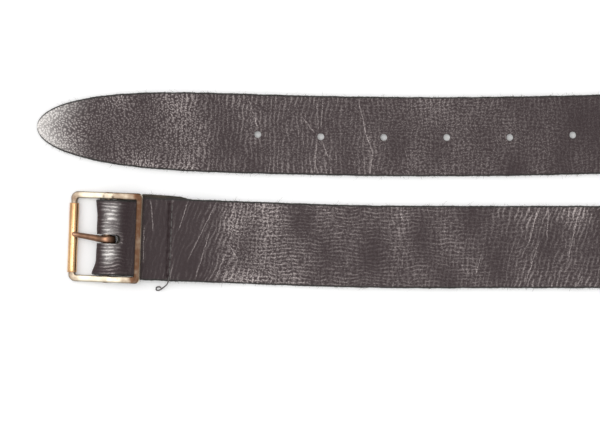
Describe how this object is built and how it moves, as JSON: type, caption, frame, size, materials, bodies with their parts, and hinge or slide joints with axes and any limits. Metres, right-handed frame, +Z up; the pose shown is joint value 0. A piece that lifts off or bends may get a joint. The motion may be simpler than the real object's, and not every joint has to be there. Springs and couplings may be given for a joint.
{
  "type": "leather belt",
  "caption": "Single-layer leather belt with a turned-back sewn end, a centre-bar roller buckle, a swinging prong and a punched, rounded point, laid out as a long hairpin.",
  "frame": {"origin": "on the table under the middle of the whole belt as it lies: centre of the bounding box in X and Y, lowest point in Z", "axes": "+X along the flat runs from the buckle and the point towards the turn of the hairpin, +Y from the buckle run to the punched run, +Z up from the table and out of the grain side of the flat runs"},
  "size_m": [0.509, 0.083, 0.0331],
  "materials": {
    "hide": "worn, creased black-brown grain with raw brown edges",
    "thread": "black waxed sewing thread",
    "cast_brass": "worn satin cast brass, darker in the corners",
    "rolled_brass": "polished rolled sheet brass",
    "dark_brass": "browned, tarnished brass"
  },
  "bodies": {
    "strap_body": {"strap": "hide", "needle_thread": "thread", "bobbin_thread": "thread"},
    "frame_body": {"buckle_frame": "cast_brass", "centre_bar": "dark_brass"},
    "prong_body": {"prong": "dark_brass"},
    "roller_body": {"roller": "rolled_brass"}
  },
  "joints": [
    {"name": "buckle_swing", "type": "hinge", "parent": "strap_body", "child": "frame_body", "pos_m": [-0.22626, -0.02029, 0.00431], "axis": [-0.0384, -0.9993, 0], "range_deg": [0, 110]},
    {"name": "prong_swing", "type": "hinge", "parent": "frame_body", "child": "prong_body", "pos_m": [-0.22626, -0.02029, 0.00431], "axis": [0.0384, 0.9993, 0], "range_deg": [0, 110]},
    {"name": "roller_spin", "type": "hinge", "parent": "frame_body", "child": "roller_body", "pos_m": [-0.24014, -0.01976, 0.0019], "axis": [0.0384, 0.9993, 0], "continuous": true}
  ]
}
